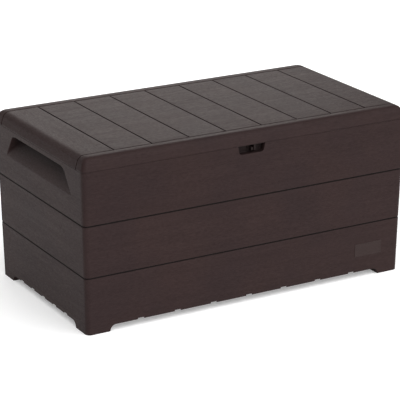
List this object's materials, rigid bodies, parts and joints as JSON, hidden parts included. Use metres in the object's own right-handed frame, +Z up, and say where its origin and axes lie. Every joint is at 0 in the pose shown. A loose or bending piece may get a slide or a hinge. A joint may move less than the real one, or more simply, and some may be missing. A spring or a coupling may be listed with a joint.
{
  "type": "deck storage box",
  "caption": "Long resin deck storage box with board-pattern walls, a hinged board-pattern lid on gas struts, end handle recesses and a padlock eye.",
  "frame": {"origin": "on the ground under the middle of the closed box", "axes": "+X along the front towards the right end seen from the front, +Y to the rear hinges, +Z up"},
  "size_m": [1.29, 0.7, 0.625],
  "materials": {
    "wall_resin": "embossed wood grain, matte",
    "lid_resin": "embossed wood grain, matte",
    "inner_resin": "plain moulded, matte",
    "black_plastic": "fine texture",
    "black_enamel": "satin",
    "zinc_steel": "zinc plated",
    "polished_steel": "polished"
  },
  "bodies": {
    "box": {"floor_panel": "inner_resin", "front_wall": "wall_resin", "rear_wall": "wall_resin", "left_wall": "wall_resin", "right_wall": "wall_resin", "foot_front_left": "wall_resin", "foot_front_right": "wall_resin", "foot_rear_left": "wall_resin", "foot_rear_right": "wall_resin", "joiner_front_left": "inner_resin", "joiner_front_right": "inner_resin", "joiner_rear_left": "inner_resin", "joiner_rear_right": "inner_resin", "padlock_pocket": "wall_resin", "nameplate": "wall_resin", "box_lock_lug": "wall_resin", "hinge_box_leaf_left": "black_plastic", "hinge_box_leaf_middle": "black_plastic", "hinge_box_leaf_right": "black_plastic", "hinge_pin_left": "zinc_steel", "hinge_pin_middle": "zinc_steel", "hinge_pin_right": "zinc_steel", "hinge_wall_screws": "zinc_steel", "bracket_wall_screws": "zinc_steel", "strut_wall_bracket_left": "zinc_steel", "strut_wall_pin_left": "zinc_steel", "strut_wall_bracket_right": "zinc_steel", "strut_wall_pin_right": "zinc_steel"},
    "lid": {"lid_shell": "lid_resin", "lid_liner": "inner_resin", "lid_lock_lug": "wall_resin", "hinge_lid_leaf_left": "black_plastic", "hinge_lid_leaf_middle": "black_plastic", "hinge_lid_leaf_right": "black_plastic", "hinge_lid_screws": "zinc_steel", "bracket_lid_screws": "zinc_steel", "strut_lid_bracket_left": "zinc_steel", "strut_lid_pin_left": "zinc_steel", "strut_lid_bracket_right": "zinc_steel", "strut_lid_pin_right": "zinc_steel"},
    "strut_tube_left": {"strut_tube_left": "black_enamel", "strut_tube_eye_left": "black_plastic", "strut_gland_left": "black_plastic"},
    "strut_rod_left": {"strut_rod_left": "polished_steel", "strut_rod_eye_left": "black_plastic"},
    "strut_tube_right": {"strut_tube_right": "black_enamel", "strut_tube_eye_right": "black_plastic", "strut_gland_right": "black_plastic"},
    "strut_rod_right": {"strut_rod_right": "polished_steel", "strut_rod_eye_right": "black_plastic"}
  },
  "joints": [
    {"name": "lid_hinge", "type": "hinge", "parent": "box", "child": "lid", "pos_m": [0, 0.338, 0.591], "axis": [-1, 0, 0], "range_deg": [0, 85]},
    {"name": "strut_tube_swing_left", "type": "hinge", "parent": "box", "child": "strut_tube_left", "pos_m": [-0.585, 0.31003, 0.41319], "axis": [-1, 0, 0], "range_deg": [0, 42.5]},
    {"name": "strut_rod_swing_left", "type": "hinge", "parent": "lid", "child": "strut_rod_left", "pos_m": [-0.585, 0.15901, 0.572], "axis": [1, 0, 0], "range_deg": [0, 42.5]},
    {"name": "strut_tube_swing_right", "type": "hinge", "parent": "box", "child": "strut_tube_right", "pos_m": [0.585, 0.31003, 0.41319], "axis": [-1, 0, 0], "range_deg": [0, 42.5]},
    {"name": "strut_rod_swing_right", "type": "hinge", "parent": "lid", "child": "strut_rod_right", "pos_m": [0.585, 0.15901, 0.572], "axis": [1, 0, 0], "range_deg": [0, 42.5]}
  ],
  "couplings": [
    {"joint": "strut_tube_swing_left", "follows": "lid_hinge", "ratio": 0.5},
    {"joint": "strut_rod_swing_left", "follows": "lid_hinge", "ratio": 0.5},
    {"joint": "strut_tube_swing_right", "follows": "lid_hinge", "ratio": 0.5},
    {"joint": "strut_rod_swing_right", "follows": "lid_hinge", "ratio": 0.5}
  ]
}
